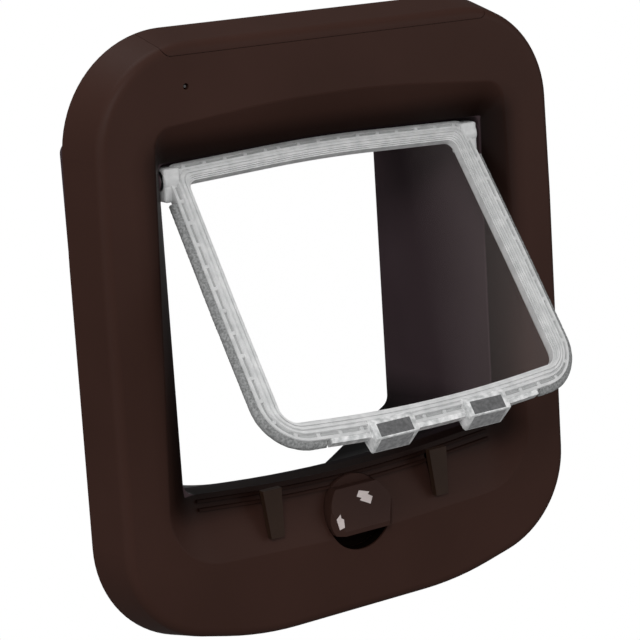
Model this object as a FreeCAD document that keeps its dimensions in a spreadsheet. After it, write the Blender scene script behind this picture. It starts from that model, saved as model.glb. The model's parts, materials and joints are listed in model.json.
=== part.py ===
# Cat flap, inner unit: a moulded fascia with a battery cover, a clear swinging flap with pile
# seals, a four-position lock dial, a latch that rises under the flap, and the tunnel liner.
# X runs to the right seen from the room, Y into the door, Z up. The origin lies on the face
# that meets the door, on the middle line of the opening.
import FreeCAD, Part
import Sketcher
import math
import os
from FreeCAD import Placement, Rotation, Vector

SIZES = [
    # Fascia: its border beside the opening, heights on the door side, and how its corners draw in
    ("side_border", 38.1), ("waist_draw", 1.0), ("shoulder_draw", 3.2), ("foot_draw", 66.6),
    ("fascia_top", 117.4), ("waist_height", 27.0), ("hip_drop", 129.2), ("foot_drop", 145.8),
    ("shoulder_radius", 48.0), ("waist_radius", 400.0), ("hip_radius", 48.0), ("foot_radius", 150.0),
    ("draft", 5.2), ("fascia_depth", 22.0), ("wall", 2.5), ("rim_fillet", 4.5), ("dish_fillet", 1.8),
    # Opening for the cat, and the dish that leads to it from the front face
    ("opening_half", 80.5), ("opening_top", 67.0), ("opening_arch", 2.8), ("opening_radius", 6.0),
    ("opening_top_radius", 3.0), ("sill_drop", 81.5), ("sill_bow", 7.0), ("crown_radius", 600.0),
    ("dish_depth", 10.0), ("dish_rise", 20.5), ("dish_arch", 8.0), ("dish_spread", 5.9),
    ("dish_shoulder_radius", 8.0), ("dish_fall", 25.5), ("dish_hip_spread", 13.5),
    ("dish_hip_bow", 4.5), ("dish_hip_radius", 26.0), ("dish_thickening", 2.5),
    ("lip_below", 2.0), ("lip_pitch", 3.4), ("lip_width", 1.2), ("lip_rise", 0.9),
    ("lip_root", 0.3), ("lip_margin", 5.0),
    # Tunnel behind the opening, its floor falling to a keel
    ("tunnel_back", 71.0), ("tunnel_wall", 2.2), ("tunnel_hip_fall", 6.5), ("tunnel_keel_fall", 48.5),
    ("tunnel_keel_radius", 90.0), ("tunnel_lip", 2.0), ("tunnel_lip_thickness", 1.8),
    ("collar_end", 4.0),
    # Rear cover and its screws, and the pillars for the four fixing screws
    ("rear_cover_thickness", 2.2), ("fit_gap", 0.2), ("cover_screw_radius", 1.4),
    ("cover_screw_length", 6.0), ("cover_screw_head_radius", 2.7), ("cover_screw_head", 1.3),
    ("cover_boss_radius", 3.4), ("side_screw_height", 30.0), ("side_screw_drop", 40.0),
    ("foot_screw_inset", 10.4), ("foot_screw_rise", 20.0), ("fixing_margin", 17.6),
    ("fixing_top_margin", 45.4), ("fixing_foot_margin", 45.8), ("fixing_hole_radius", 1.75),
    ("fixing_boss_radius", 4.5), ("fixing_depth", 14.0), ("screw_clearance", 0.1),
    # Battery bay
    ("cover_margin", 38.6), ("cover_strip", 9.6), ("cover_corner", 4.0), ("seam_gap", 0.2),
    ("tongue_margin", 11.0), ("tongue_width", 10.0), ("tongue_length", 6.0),
    ("tongue_thickness", 1.2), ("tongue_root", 1.5), ("cell_radius", 7.05), ("cell_length", 49.5),
    ("cell_nub_radius", 2.75), ("cell_nub", 1.0), ("cell_gap", 0.1), ("cell_row_offset", 8.35),
    ("tray_wall", 1.0), ("tray_back", 2.5), ("tray_rise", 14.2), ("tray_rim", 0.8),
    ("tray_chamfer_height", 6.6), ("tray_chamfer_depth", 5.2), ("contact_thickness", 0.5),
    ("contact_gap", 0.6), ("contact_width", 8.0), ("contact_overhang", 5.0), ("contact_tip", 3.2),
    # Status light and the reader's board with its three tall parts
    ("light_gap", 18.0), ("light_fall", 22.2), ("light_hole_radius", 1.3), ("light_radius", 1.15),
    ("light_flange", 0.4), ("light_recess", 1.0), ("board_width", 27.0), ("board_height", 22.0),
    ("board_thickness", 1.6), ("board_standoff", 6.0), ("post_radius", 2.5), ("post_margin", 3.1),
    ("part_pitch", 8.5), ("chip_width", 8.0), ("chip_length", 8.0), ("chip_rise", 1.6),
    ("relay_width", 5.0), ("relay_length", 12.0), ("relay_rise", 3.0), ("plug_width", 5.0),
    ("plug_length", 13.0), ("plug_rise", 4.0), ("coil_width", 2.4), ("coil_depth", 2.4),
    ("coil_margin", 3.9),
    # Flap: its clearances in the opening and its section, from the hinge line down
    ("hinge_fall", 9.9), ("hinge_forward", 8.5), ("flap_open_angle", 35.8),
    ("flap_side_gap", 1.2), ("flap_shoulder_draw", 1.3), ("flap_waist_draw", 0.2),
    ("flap_crown_gap", 1.5), ("flap_arch", 3.2), ("flap_waist_drop", 60.0), ("flap_sill_gap", 11.3),
    ("flap_bow", 6.4), ("flap_shoulder_radius", 5.0), ("flap_hip_radius", 23.0),
    ("flange_half", 2.6), ("flap_pane_half", 1.1), ("flap_rim_width", 8.6), ("bead_half", 4.0),
    ("bead_width", 4.0), ("bead_chamfer", 1.4), ("ridge_half", 3.4), ("ridge_width", 1.0),
    ("ridge_inset", 2.8), ("channel_half", 1.8), ("channel_inset", 0.9), ("seal_width", 2.5),
    ("seal_thickness", 6.0), ("seal_start", 13.0), ("seal_end_half", 52.0), ("block_half", 23.1),
    ("block_width", 24.4), ("block_slant", 2.6), ("block_below", 5.4), ("block_height", 12.0),
    ("block_thickness", 13.0), ("block_chamfer", 3.6), ("magnet_width", 14.0),
    ("magnet_height", 5.0), ("magnet_thickness", 4.0), ("pivot_radius", 2.0),
    ("pivot_clearance", 0.05), ("pivot_length", 3.0), ("flap_boss_radius", 5.2),
    ("boss_gap", 1.1), ("boss_overlap", 4.0), ("socket_radius", 4.2), ("socket_gap", 0.6),
    ("socket_length", 4.2),
    # Lock dial
    ("dial_below_sill", 16.0), ("dial_radius", 16.0), ("dial_clearance", 0.35),
    ("pocket_floor", 13.5), ("pocket_floor_thickness", 1.5), ("dial_disc", 1.8),
    ("dial_face", 27.0), ("grip_below", 7.0), ("grip_above", 12.0), ("grip_brow", 2.0),
    ("grip_slope_depth", 7.5), ("flank_start", 11.5), ("flank_depth", 7.0),
    ("spindle_radius", 3.0), ("spindle_clearance", 0.06), ("cam_radius", 7.0), ("cam_lobe", 2.2), ("cam_thickness", 1.0),
    ("dial_screw_radius", 1.5), ("dial_screw_head_radius", 3.0), ("dial_screw_head", 0.9),
    ("dial_screw_length", 9.0),
    # Latch: two fingers on one carriage that a small motor lifts by a rack
    ("finger_gap", 7.7), ("finger_rest_gap", 1.4), ("finger_height", 21.5),
    ("finger_top_width", 9.2), ("finger_bottom_width", 6.4), ("finger_front", 23.2),
    ("finger_thickness", 3.0), ("shank_height", 2.5), ("shank_width", 3.4), ("slot_gap", 0.4),
    ("latch_travel", 15.5), ("carriage_front", 9.5), ("carriage_thickness", 2.5),
    ("carriage_below", 1.5), ("carriage_height", 5.5), ("upright_width", 4.0),
    ("guide_place", 30.0), ("guide_width", 3.0), ("guide_above", 11.0), ("guide_height", 20.0),
    ("gear_module", 0.75), ("pinion_teeth", 12.0), ("gear_angle", 20.0), ("gear_backlash", 0.35),
    ("gear_root", 1.25), ("gear_tip", 0.8), ("pinion_below", 12.0),
    ("rack_pitch_line", 50.5), ("rack_web", 3.2), ("rack_below", 19.0), ("motor_radius", 6.0),
    ("motor_flat", 5.0), ("motor_length", 9.2), ("motor_shaft_radius", 0.75),
    ("motor_shaft_clearance", 0.05), ("shaft_end", 1.0),
]

doc = FreeCAD.newDocument("CatFlap")
sheet = doc.addObject("Spreadsheet::Sheet", "Sizes")
for row, (alias, value) in enumerate(SIZES, start=1):
    sheet.set(f"A{row}", alias)
    sheet.set(f"B{row}", str(value))
    sheet.setAlias(f"B{row}", alias)
doc.recompute()

SUB_PARTS = []
FAR = 400.0


def size(alias):
    """The plain number in the sheet's cell of that name."""
    return float(sheet.get(alias))


def named(label, shape):
    """A sub-part whose shape is set here, for forms that sketches do not fit."""
    feature = doc.addObject("Part::Feature", label)
    feature.Label = label
    feature.Shape = shape
    SUB_PARTS.append(feature)
    return feature


# Outlines with rounded corners

def mirrored(half):
    """Closes an outline given from the top down the right side; points on the middle line stay."""
    left = [(-x, z, r) for x, z, r in reversed(half) if x > 0]
    return half + left


def inset(corners, by, least=0.4):
    """Moves every side of a clockwise outline in by a distance; a negative one grows it."""
    moved = []
    count = len(corners)
    for i in range(count):
        before = Vector(corners[i - 1][0], 0, corners[i - 1][1])
        here = Vector(corners[i][0], 0, corners[i][1])
        after = Vector(corners[(i + 1) % count][0], 0, corners[(i + 1) % count][1])
        way_in = (here - before).normalize()
        way_out = (after - here).normalize()
        normal_in = Vector(way_in.z, 0, -way_in.x)
        normal_out = Vector(way_out.z, 0, -way_out.x)
        bisector = normal_in + normal_out
        shift = bisector * (by * 2 / bisector.dot(bisector))
        point = here + shift
        moved.append((point.x, point.z, max(corners[i][2] - by, least)))
    return moved


def outline(corners, y):
    """Wire of straight sides joined by tangent arcs, in the plane at y."""
    arcs = []
    count = len(corners)
    for i in range(count):
        before = Vector(corners[i - 1][0], y, corners[i - 1][1])
        here = Vector(corners[i][0], y, corners[i][1])
        after = Vector(corners[(i + 1) % count][0], y, corners[(i + 1) % count][1])
        radius = corners[i][2]
        back = (before - here).normalize()
        ahead = (after - here).normalize()
        half_angle = back.getAngle(ahead) / 2
        reach = radius / math.tan(half_angle)
        middle = here + (back + ahead).normalize() * (radius / math.sin(half_angle) - radius)
        arcs.append((here + back * reach, middle, here + ahead * reach))
    edges = []
    for i in range(count):
        edges.append(Part.Arc(*arcs[i]).toShape())
        edges.append(Part.LineSegment(arcs[i][2], arcs[(i + 1) % count][0]).toShape())
    return Part.Wire(edges)


def prism(corners, y_start, y_end):
    """Solid with one outline from one depth to another."""
    return Part.Face(outline(corners, y_start)).extrude(Vector(0, y_end - y_start, 0))


def taper(corners_start, y_start, corners_end, y_end):
    """Solid that runs from one outline to another with the same corners."""
    return Part.makeLoft([outline(corners_start, y_start), outline(corners_end, y_end)], True, True)


def swept(points, along):
    """Polygon moved along a straight line into a solid."""
    return Part.Face(Part.makePolygon(points + points[:1])).extrude(along)


def block(x_low, x_high, y_low, y_high, z_low, z_high):
    """Straight block between two opposite corners."""
    return Part.makeBox(x_high - x_low, y_high - y_low, z_high - z_low, Vector(x_low, y_low, z_low))


def rod(x, z, radius, y_start, y_end):
    """Round rod along Y."""
    return Part.makeCylinder(radius, y_end - y_start, Vector(x, y_start, z), Vector(0, 1, 0))


# PartDesign helpers

def new_body(label):
    body = doc.addObject("PartDesign::Body", label)
    body.Label = label
    SUB_PARTS.append(body)
    return body


def new_sketch(body, role, name):
    """Sketch on one of the body's own origin planes."""
    sketch = body.newObject("Sketcher::SketchObject", name)
    plane = next(f for f in body.Origin.OriginFeatures if f.Role == role)
    sketch.AttachmentSupport = [(plane, "")]
    sketch.MapMode = "FlatFace"
    return sketch


def tie(sketch, constraint, text):
    """Adds a dimension and ties it to an expression on the sheet's cells."""
    place = sketch.addConstraint(constraint)
    sketch.setExpression(f"Constraints[{place}]", text)


def closed_profile(sketch, corners):
    """Closed polygon, started as a regular one, whose every corner is tied by two expressions."""
    count = len(corners)
    starts = [Vector(-math.cos(2 * math.pi * i / count), math.sin(2 * math.pi * i / count), 0)
              for i in range(count)]
    first = sketch.GeometryCount
    for i in range(count):
        sketch.addGeometry(Part.LineSegment(starts[i], starts[(i + 1) % count]), False)
    for i in range(count):
        following = first + (i + 1) % count
        sketch.addConstraint(Sketcher.Constraint("Coincident", first + i, 2, following, 1))
    for i in range(count):
        x_text, y_text = corners[i]
        tie(sketch, Sketcher.Constraint("DistanceX", -1, 1, first + i, 1, starts[i].x), x_text)
        tie(sketch, Sketcher.Constraint("DistanceY", -1, 1, first + i, 1, starts[i].y), y_text)


def circle(sketch, radius_text, x_text="0", y_text="0"):
    """Circle, started at unit size, whose radius and centre are tied to the sheet."""
    index = sketch.addGeometry(Part.Circle(Vector(0, 0, 0), Vector(0, 0, 1), 1), False)
    tie(sketch, Sketcher.Constraint("Radius", index, 1), radius_text)
    tie(sketch, Sketcher.Constraint("DistanceX", -1, 1, index, 3, 0), x_text)
    tie(sketch, Sketcher.Constraint("DistanceY", -1, 1, index, 3, 0), y_text)


def pad(body, sketch, name, length_text, reverse=False):
    feature = body.newObject("PartDesign::Pad", name)
    feature.Profile = sketch
    feature.setExpression("Length", length_text)
    feature.Reversed = reverse
    return feature


def turned(label, corners, place):
    """Body turned about its own X axis from a half profile of (x, radius) expressions."""
    body = new_body(label)
    sketch = new_sketch(body, "XY_Plane", f"{label}_profile")
    closed_profile(sketch, corners)
    turn = body.newObject("PartDesign::Revolution", f"{label}_turn")
    turn.Profile = sketch
    turn.ReferenceAxis = (sketch, ["H_Axis"])
    turn.Angle = 360
    body.Placement = place
    return body


DEPTH = size("fascia_depth")
WALL = size("wall")

# Places that follow from the sizes; a drop is measured downwards from the origin

FASCIA_HALF = size("opening_half") + size("side_border")
FOOT_HALF = FASCIA_HALF - size("foot_draw")
COVER_HALF = FASCIA_HALF - size("cover_margin")
OPENING_SHOULDER = size("opening_top") - size("opening_arch")
SILL_HIP_DROP = size("sill_drop") - size("sill_bow")
DISH_TOP = size("opening_top") + size("dish_rise")
DISH_DROP = size("sill_drop") + size("dish_fall")
DISH_HIP_HALF = size("opening_half") + size("dish_hip_spread")
OPENING_FACE = size("dish_depth") - DEPTH
COLLAR_END = -size("collar_end")
REAR_COVER_FRONT = -size("rear_cover_thickness")
COVER_SEAM = size("fascia_top") - size("cover_strip")
TRAY_FLOOR = size("opening_top") + size("tray_rise")
TRAY_HALF = size("cell_length") + size("cell_nub") + size("contact_thickness") + size("contact_gap")
LIGHT_X = -TRAY_HALF - size("tray_wall") - size("light_gap")
LIGHT_HEIGHT = size("fascia_top") - size("light_fall")
HINGE = Vector(0, -size("hinge_forward"), size("opening_top") - size("hinge_fall"))
DIAL_HEIGHT = -size("sill_drop") - size("dial_below_sill")
COVER_SCREW_HALF = FASCIA_HALF - size("fixing_margin")
FIXING_PLACES = [(side * COVER_SCREW_HALF, height) for side in (-1, 1)
                 for height in (size("fascia_top") - size("fixing_top_margin"),
                                size("fixing_foot_margin") - size("foot_drop"))]
COVER_SCREW_PLACES = [(side * COVER_SCREW_HALF, height) for side in (-1, 1)
                      for height in (size("side_screw_height"), -size("side_screw_drop"))]
COVER_SCREW_PLACES += [(side * (FOOT_HALF - size("foot_screw_inset")),
                        size("foot_screw_rise") - size("foot_drop")) for side in (-1, 1)]

# Places on the flap, measured from its hinge line

FLAP_SIDE = size("opening_half") - size("flap_side_gap") - size("seal_width")
FLAP_SHOULDER_HALF = FLAP_SIDE - size("flap_shoulder_draw")
FLAP_BOSS = size("opening_half") - size("boss_gap")
FLAP_CROWN = size("hinge_fall") - size("flap_crown_gap")
FLAP_DROP = HINGE.z + size("sill_drop") - size("flap_sill_gap")
BLOCK_DROP = FLAP_DROP + size("block_below")

# Places on the latch

FINGER_PLACE = size("block_half") + size("block_width") / 2 + size("finger_gap")
FINGER_TOP = HINGE.z - BLOCK_DROP - size("finger_rest_gap")
FINGER_BOTTOM = FINGER_TOP - size("finger_height")
CARRIAGE_TOP = FINGER_BOTTOM - size("carriage_below")
GUIDE_TOP = CARRIAGE_TOP + size("guide_above")
PINION_HEIGHT = CARRIAGE_TOP - size("pinion_below")
RACK_END = PINION_HEIGHT - size("rack_below")

# Outlines that several pieces share

BACK_OUTLINE = mirrored([
    (FASCIA_HALF - size("shoulder_draw"), size("fascia_top"), size("shoulder_radius")),
    (FASCIA_HALF - size("waist_draw"), size("waist_height"), size("waist_radius")),
    (FASCIA_HALF, -size("hip_drop"), size("hip_radius")),
    (FOOT_HALF, -size("foot_drop"), size("foot_radius")),
])
DISH = mirrored([
    (0, DISH_TOP, size("crown_radius")),
    (size("opening_half") + size("dish_spread"), DISH_TOP - size("dish_arch"),
     size("dish_shoulder_radius")),
    (DISH_HIP_HALF, size("dish_hip_bow") - DISH_DROP, size("dish_hip_radius")),
    (0, -DISH_DROP, size("crown_radius")),
])
OPENING = mirrored([
    (0, size("opening_top"), size("crown_radius")),
    (size("opening_half"), OPENING_SHOULDER, size("opening_top_radius")),
    (size("opening_half"), -SILL_HIP_DROP, size("opening_radius")),
    (0, -size("sill_drop"), size("crown_radius")),
])
TUNNEL_END = mirrored([
    (0, size("opening_top"), size("crown_radius")),
    (size("opening_half"), OPENING_SHOULDER, size("opening_top_radius")),
    (size("opening_half"), -SILL_HIP_DROP - size("tunnel_hip_fall"), size("opening_radius")),
    (0, -size("sill_drop") - size("tunnel_keel_fall"), size("tunnel_keel_radius")),
])


def edges_at(shape, y):
    """Edges of a shape that lie in the plane at y."""
    return [e for e in shape.Edges if all(abs(v.Y - y) < 1e-4 for v in e.Vertexes)]


# Fascia and battery cover

def drafted(corners, y_front):
    """Block that ends at y = 0 and whose side wall leans in by the draft towards the room."""
    lean = size("draft") * -y_front / DEPTH
    form = prism(corners, y_front, WALL)
    form = form.makeChamfer(-y_front, lean, edges_at(form, y_front))
    return form.cut(block(-FAR, FAR, 0, FAR, -FAR, FAR))


def outer_form():
    """Drafted block with its rim rounded."""
    form = drafted(BACK_OUTLINE, -DEPTH)
    return form.makeFillet(size("rim_fillet"), edges_at(form, -DEPTH))


def cavity():
    """Hollow behind the front face."""
    return drafted(inset(BACK_OUTLINE, WALL), -DEPTH + WALL)


def cover_zone(gap):
    """Prism that holds the battery cover; the fascia's share of it is larger by the gap."""
    half = COVER_HALF + gap
    seam = COVER_SEAM - gap
    top = size("fascia_top") + FAR
    corner = size("cover_corner")
    corners = [(half, top, corner), (half, seam, corner), (-half, seam, corner), (-half, top, corner)]
    return prism(corners, -FAR, FAR)


def socket_rod(side, radius, inner, outer):
    """Rod along X on the hinge line, on one side."""
    start = Vector(side * inner, HINGE.y, HINGE.z)
    return Part.makeCylinder(radius, outer - inner, start, Vector(side, 0, 0))


def sill_lip(below):
    """Thin rib across the scoop, parallel to the sill and a given way below it."""
    slope = size("dish_depth") / size("dish_fall")
    root = OPENING_FACE - below * slope + size("lip_root")
    front = OPENING_FACE - (below + size("lip_width")) * slope - size("lip_rise")
    band = prism(inset(OPENING, -below - size("lip_width")), front, root)
    band = band.cut(prism(inset(OPENING, -below), -FAR, FAR))
    half = size("opening_half") - size("lip_margin")
    return band.common(block(-half, half, -FAR, FAR, -FAR, 0))


def make_fascia():
    form = outer_form()
    room = cavity()
    dish = taper(DISH, -DEPTH, OPENING, OPENING_FACE)
    deepened = [(x, z - size("dish_thickening") if z < 0 else z, radius) for x, z, radius in DISH]
    dish_skin = taper(inset(deepened, -WALL), -DEPTH, inset(OPENING, -WALL), OPENING_FACE + WALL / 2)
    collar_skin = prism(inset(OPENING, -WALL), OPENING_FACE, COLLAR_END)
    pocket_radius = size("dial_radius") + size("dial_clearance")
    pocket_back = -size("pocket_floor") + size("pocket_floor_thickness")
    solid_parts = [dish_skin, collar_skin, rod(0, DIAL_HEIGHT, pocket_radius + WALL, -DEPTH, pocket_back)]
    for x, z in FIXING_PLACES:
        solid_parts.append(rod(x, z, size("fixing_boss_radius"), -DEPTH, REAR_COVER_FRONT))
    for x, z in COVER_SCREW_PLACES:
        solid_parts.append(rod(x, z, size("cover_boss_radius"), -DEPTH, REAR_COVER_FRONT))
    for x, z in board_posts():
        solid_parts.append(rod(x, z, size("post_radius"), -DEPTH, board_front()))
    for part in solid_parts:
        room = room.cut(part)
    dished = form.cut(dish)
    lip = [e for e in edges_at(dished, -DEPTH)
           if e.BoundBox.ZMax < DISH_TOP + WALL and abs(e.BoundBox.Center.x) < DISH_HIP_HALF
           and e.BoundBox.ZMin > -DISH_DROP - WALL]
    dished = dished.makeFillet(size("dish_fillet"), lip)
    shell = dished.cut(room).cut(prism(OPENING, -FAR, FAR))
    inner = FLAP_BOSS + size("socket_gap")
    for side in (-1, 1):
        shell = shell.fuse(socket_rod(side, size("socket_radius"), inner, inner + size("socket_length")))
    shell = shell.fuse([sill_lip(size("lip_below")), sill_lip(size("lip_below") + size("lip_pitch"))])
    bore = size("pivot_radius") + size("pivot_clearance")
    for side in (-1, 1):
        end = inner + size("pivot_length") + size("fit_gap")
        shell = shell.cut(socket_rod(side, bore, FLAP_BOSS, end))
    shell = shell.cut(rod(0, DIAL_HEIGHT, pocket_radius, -FAR, -size("pocket_floor")))
    spindle_bore = size("spindle_radius") + size("spindle_clearance")
    shell = shell.cut(rod(0, DIAL_HEIGHT, spindle_bore, -DEPTH, 0))
    for x, z in FIXING_PLACES:
        depth = REAR_COVER_FRONT - size("fixing_depth")
        shell = shell.cut(rod(x, z, size("fixing_hole_radius"), depth, 0))
    for x, z in COVER_SCREW_PLACES:
        hole = size("cover_screw_radius") + size("screw_clearance") / 2
        shell = shell.cut(rod(x, z, hole, REAR_COVER_FRONT - size("cover_screw_length"), 0))
    light = rod(LIGHT_X, LIGHT_HEIGHT, size("light_hole_radius"), -FAR, board_front())
    shell = shell.cut(light).cut(cover_zone(size("seam_gap")))
    for side in (-1, 1):
        shell = shell.cut(finger_slot(side))
    return named("fascia", shell)


def finger_slot(side):
    """Slot in the scoop that the shank of a latch finger rises through."""
    half = size("shank_width") / 2 + size("slot_gap")
    middle = side * FINGER_PLACE
    low = FINGER_BOTTOM - size("slot_gap")
    high = low + size("shank_height") + size("latch_travel") + 2 * size("slot_gap")
    return block(middle - half, middle + half, -DEPTH, -size("carriage_front"), low, high)


def make_battery_cover():
    cover = outer_form().common(cover_zone(0)).cut(cavity())
    front = -DEPTH + WALL
    back = front + size("tongue_thickness")
    for side in (-1, 1):
        left = side * (COVER_HALF - size("tongue_margin")) - size("tongue_width") / 2
        right = left + size("tongue_width")
        tongue = block(left, right, front, back, COVER_SEAM - size("tongue_length"), COVER_SEAM)
        root = block(left, right, front - WALL / 2, back, COVER_SEAM, COVER_SEAM + size("tongue_root"))
        cover = cover.fuse([tongue, root])
    return named("battery_cover", cover.removeSplitter())


# Rear cover and tunnel

def make_rear_cover():
    front = REAR_COVER_FRONT
    margin = WALL + size("fit_gap")
    plate = drafted(inset(BACK_OUTLINE, margin), front)
    gap = size("fit_gap")
    plate = plate.cut(prism(inset(OPENING, -size("tunnel_wall") - gap), -FAR, FAR))
    for side in (-1, 1):
        middle = side * size("guide_place")
        rail_front = -size("carriage_front") + size("carriage_thickness") + gap
        rail = block(middle - size("guide_width") / 2, middle + size("guide_width") / 2, rail_front,
                     front, GUIDE_TOP - size("guide_height"), GUIDE_TOP)
        plate = plate.fuse(rail)
    for x, z in FIXING_PLACES:
        plate = plate.cut(rod(x, z, size("fixing_hole_radius") + gap, -FAR, FAR))
    for x, z in COVER_SCREW_PLACES:
        plate = plate.cut(rod(x, z, size("cover_screw_radius") + gap, -FAR, FAR))
        head = size("cover_screw_head_radius") + gap
        plate = plate.cut(rod(x, z, head, -size("cover_screw_head") - gap / 2, FAR))
    return named("rear_cover", plate.removeSplitter())


def make_tunnel():
    skin = -size("tunnel_wall")
    outside = prism(inset(OPENING, skin), COLLAR_END, 0)
    outside = outside.fuse(taper(inset(OPENING, skin), 0, inset(TUNNEL_END, skin), size("tunnel_back")))
    lip = prism(inset(OPENING, skin - size("tunnel_lip")), COLLAR_END,
                COLLAR_END + size("tunnel_lip_thickness"))
    inside = prism(OPENING, COLLAR_END, 0)
    inside = inside.fuse(taper(OPENING, 0, TUNNEL_END, size("tunnel_back")))
    return named("tunnel", outside.fuse(lip).cut(inside).removeSplitter())


# Electronics

def board_front():
    """Depth of the board's room-side face."""
    return -DEPTH + WALL + size("board_standoff")


def board_posts():
    """The two posts that carry the board, at opposite corners."""
    half_width = size("board_width") / 2 - size("post_margin")
    half_height = size("board_height") / 2 - size("post_margin")
    return [(LIGHT_X + side * half_width, LIGHT_HEIGHT - side * half_height) for side in (-1, 1)]


def on_board(place, width, length, y_start, y_end):
    """Block on the board, centred in height."""
    x = LIGHT_X + place
    return block(x - width / 2, x + width / 2, y_start, y_end,
                 LIGHT_HEIGHT - length / 2, LIGHT_HEIGHT + length / 2)


def make_board():
    front = board_front()
    back = front + size("board_thickness")
    pitch = size("part_pitch")
    board = on_board(0, size("board_width"), size("board_height"), front, back)
    chip = on_board(0, size("chip_width"), size("chip_length"), back, back + size("chip_rise"))
    relay = on_board(pitch, size("relay_width"), size("relay_length"), back, back + size("relay_rise"))
    plug = on_board(-pitch, size("plug_width"), size("plug_length"), back, back + size("plug_rise"))
    named("circuit_board", board.fuse([chip, relay, plug]).removeSplitter())


def make_light():
    """Lens on the board that reaches into the hole in the front face."""
    length = "(Sizes.board_standoff + Sizes.wall - Sizes.light_recess)"
    flange = "Sizes.light_radius + Sizes.light_flange"
    corners = [("0", "0"), ("0", flange), ("Sizes.light_flange * 2", flange),
               ("Sizes.light_flange * 2", "Sizes.light_radius"),
               (f"{length} - Sizes.light_radius / 2", "Sizes.light_radius"),
               (length, "Sizes.light_radius / 2"), (length, "0")]
    place = Placement(Vector(LIGHT_X, board_front(), LIGHT_HEIGHT), Rotation(Vector(0, 0, 1), -90))
    turned("status_light", corners, place)


def make_coil():
    """Ring round the collar, clear of the flap's sockets."""
    margin = size("coil_margin")
    back = COLLAR_END - size("fit_gap")
    ring = prism(inset(OPENING, -margin - size("coil_width")), back - size("coil_depth"), back)
    named("antenna_coil", ring.cut(prism(inset(OPENING, -margin), -FAR, FAR)))


# Battery bay

def cell_centre(row):
    """Depth and height of a row of cells; row 0 is the lower one."""
    y = -size("tray_back") - size("tray_wall") - size("cell_radius") - size("cell_gap")
    z = TRAY_FLOOR + size("tray_wall") + size("cell_row_offset")
    return y, z + row * (2 * size("cell_radius") + size("cell_gap"))


def tray_section(by, half):
    """Section that clears the dish's slanting top wall, pushed in by a wall thickness."""
    front = -DEPTH + WALL + size("fit_gap")
    back = -size("tray_back")
    low = TRAY_FLOOR
    high = COVER_SEAM + size("tray_rim")
    points = [Vector(-half, back - by, low + by), Vector(-half, back - by, high),
              Vector(-half, front + by, high),
              Vector(-half, front + by, low + size("tray_chamfer_height") + by / 2),
              Vector(-half, front + size("tray_chamfer_depth") + by / 2, low + by)]
    return swept(points, Vector(2 * half, 0, 0))


def make_tray():
    wall = size("tray_wall")
    named("battery_tray", tray_section(0, TRAY_HALF + wall).cut(tray_section(wall, TRAY_HALF)))


def make_cells():
    end = "Sizes.cell_length + Sizes.cell_nub"
    corners = [("0", "0"), ("0", "Sizes.cell_radius"), ("Sizes.cell_length", "Sizes.cell_radius"),
               ("Sizes.cell_length", "Sizes.cell_nub_radius"), (end, "Sizes.cell_nub_radius"),
               (end, "0")]
    half_gap = size("cell_gap") / 2
    starts = [-size("cell_length") - size("cell_nub") - half_gap, half_gap]
    for row in (0, 1):
        y, z = cell_centre(row)
        for column, start in enumerate(starts):
            place = Placement(Vector(start, y, z), Rotation())
            if row:
                place = Placement(Vector(-start, y, z), Rotation(Vector(0, 0, 1), 180))
            turned(f"battery_{2 * row + column + 1}", corners, place)


def make_contacts():
    thick = size("contact_thickness")
    half = size("contact_width") / 2
    for side, label in ((-1, "contact_left"), (1, "contact_right")):
        outer = side * TRAY_HALF
        inner = outer - side * thick
        y, low = cell_centre(0)
        high = cell_centre(1)[1]
        plate = block(min(inner, outer), max(inner, outer), y - half, y + half,
                      low - size("contact_overhang"), high + size("contact_overhang"))
        for z in (low, high):
            reach = size("contact_gap") - size("cell_gap")
            tip = Part.makeCone(size("contact_tip"), size("contact_tip") / 2, reach,
                                Vector(inner, y, z), Vector(-side, 0, 0))
            plate = plate.fuse(tip)
        named(label, plate)


# Flap, drawn hanging straight down from the hinge line, then swung into the room

FLAP_PLACE = Placement(HINGE, Rotation(Vector(1, 0, 0), -size("flap_open_angle")))


def flap_outline():
    return mirrored([
        (0, FLAP_CROWN, size("crown_radius")),
        (FLAP_SHOULDER_HALF, FLAP_CROWN - size("flap_arch"), size("flap_shoulder_radius")),
        (FLAP_SIDE - size("flap_waist_draw"), -size("flap_waist_drop"), size("waist_radius")),
        (FLAP_SIDE, size("flap_bow") - FLAP_DROP, size("flap_hip_radius")),
        (0, -FLAP_DROP, size("crown_radius")),
    ])


def latch_block(side):
    """Eight-sided block on the flap's lower edge, its ends slanting in towards the bottom."""
    half = size("block_width") / 2
    thick = size("block_thickness") / 2
    low = -BLOCK_DROP
    high = low + size("block_height")
    middle = (low + high) / 2
    cut = size("block_chamfer")
    foot = half - size("block_slant")
    section = [Vector(-half, -thick, high - cut), Vector(-half, -thick, low + cut),
               Vector(-half, -thick + cut, low), Vector(-half, thick - cut, low),
               Vector(-half, thick, low + cut), Vector(-half, thick, high - cut),
               Vector(-half, thick - cut, high), Vector(-half, -thick + cut, high)]
    front = [Vector(-foot, -thick, low), Vector(foot, -thick, low), Vector(half, -thick, middle),
             Vector(half, -thick, high), Vector(-half, -thick, high), Vector(-half, -thick, middle)]
    bar = swept(section, Vector(2 * half, 0, 0)).common(swept(front, Vector(0, 2 * thick, 0)))
    bar.translate(Vector(side * size("block_half"), 0, 0))
    return bar


def magnet_box(side, grow):
    """Seat of a magnet in its block, larger than the magnet all round."""
    x = side * size("block_half")
    z = -BLOCK_DROP + size("block_height") / 2
    half = size("magnet_width") / 2 + grow
    thick = size("magnet_thickness") / 2 + grow
    tall = size("magnet_height") / 2 + grow
    return block(x - half, x + half, -thick, thick, z - tall, z + tall)


def rim_ring(corners, start, end, half, least):
    """Ring of the flap's rim between two distances from its edge, alike on both faces."""
    ring = prism(inset(corners, start, least), -half, half)
    return ring.cut(prism(inset(corners, end, least), -FAR, FAR))


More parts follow.
